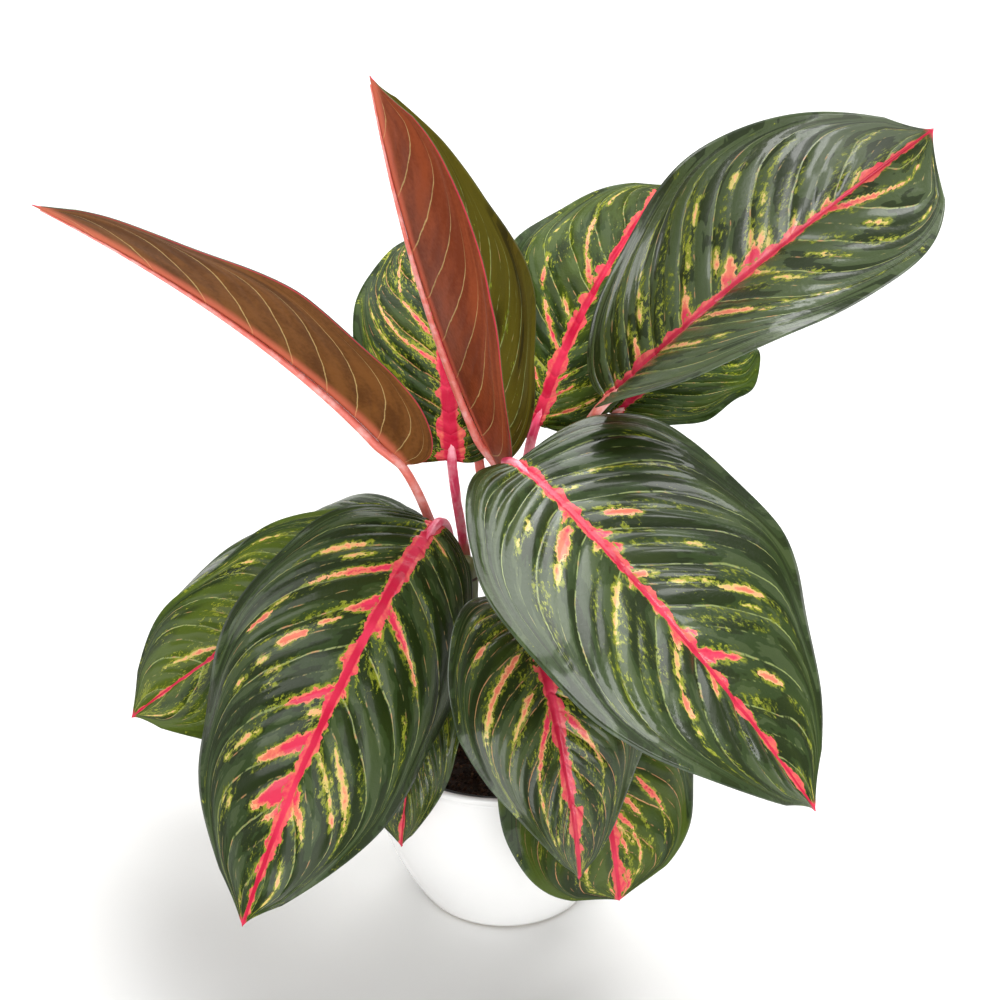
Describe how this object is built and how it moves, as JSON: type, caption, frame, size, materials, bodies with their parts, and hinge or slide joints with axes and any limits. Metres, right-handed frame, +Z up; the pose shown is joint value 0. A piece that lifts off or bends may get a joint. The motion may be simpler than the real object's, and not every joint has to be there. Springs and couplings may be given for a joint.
{
  "type": "potted chinese evergreen",
  "caption": "Potted Chinese evergreen: broad pointed dark green leaves with pink midribs on arched stalks, from short canes in a nursery pot inside a rounded white cover pot.",
  "frame": {"origin": "centre of the cover pot's flat base, on the surface that it stands on", "axes": "+Z up through the pot, -Y towards the side that the picture shows, +X to that view's right"},
  "size_m": [0.3858, 0.3125, 0.4093],
  "materials": {
    "white_glaze": "gloss",
    "black_plastic": "matte",
    "potting_mix": "matte",
    "cane": "satin",
    "leaf": "satin"
  },
  "bodies": {
    "root": {"cover_pot": "white_glaze", "nursery_pot": "black_plastic", "potting_mix": "potting_mix", "cane_left": "cane", "cane_right": "cane", "leaf_01": "leaf", "leaf_02": "leaf", "leaf_03": "leaf", "leaf_04": "leaf", "leaf_05": "leaf", "leaf_06": "leaf", "leaf_07": "leaf", "leaf_08": "leaf", "leaf_09": "leaf", "leaf_10": "leaf", "leaf_11": "leaf", "leaf_12": "leaf", "leaf_13": "leaf", "leaf_14": "leaf"}
  },
  "joints": []
}
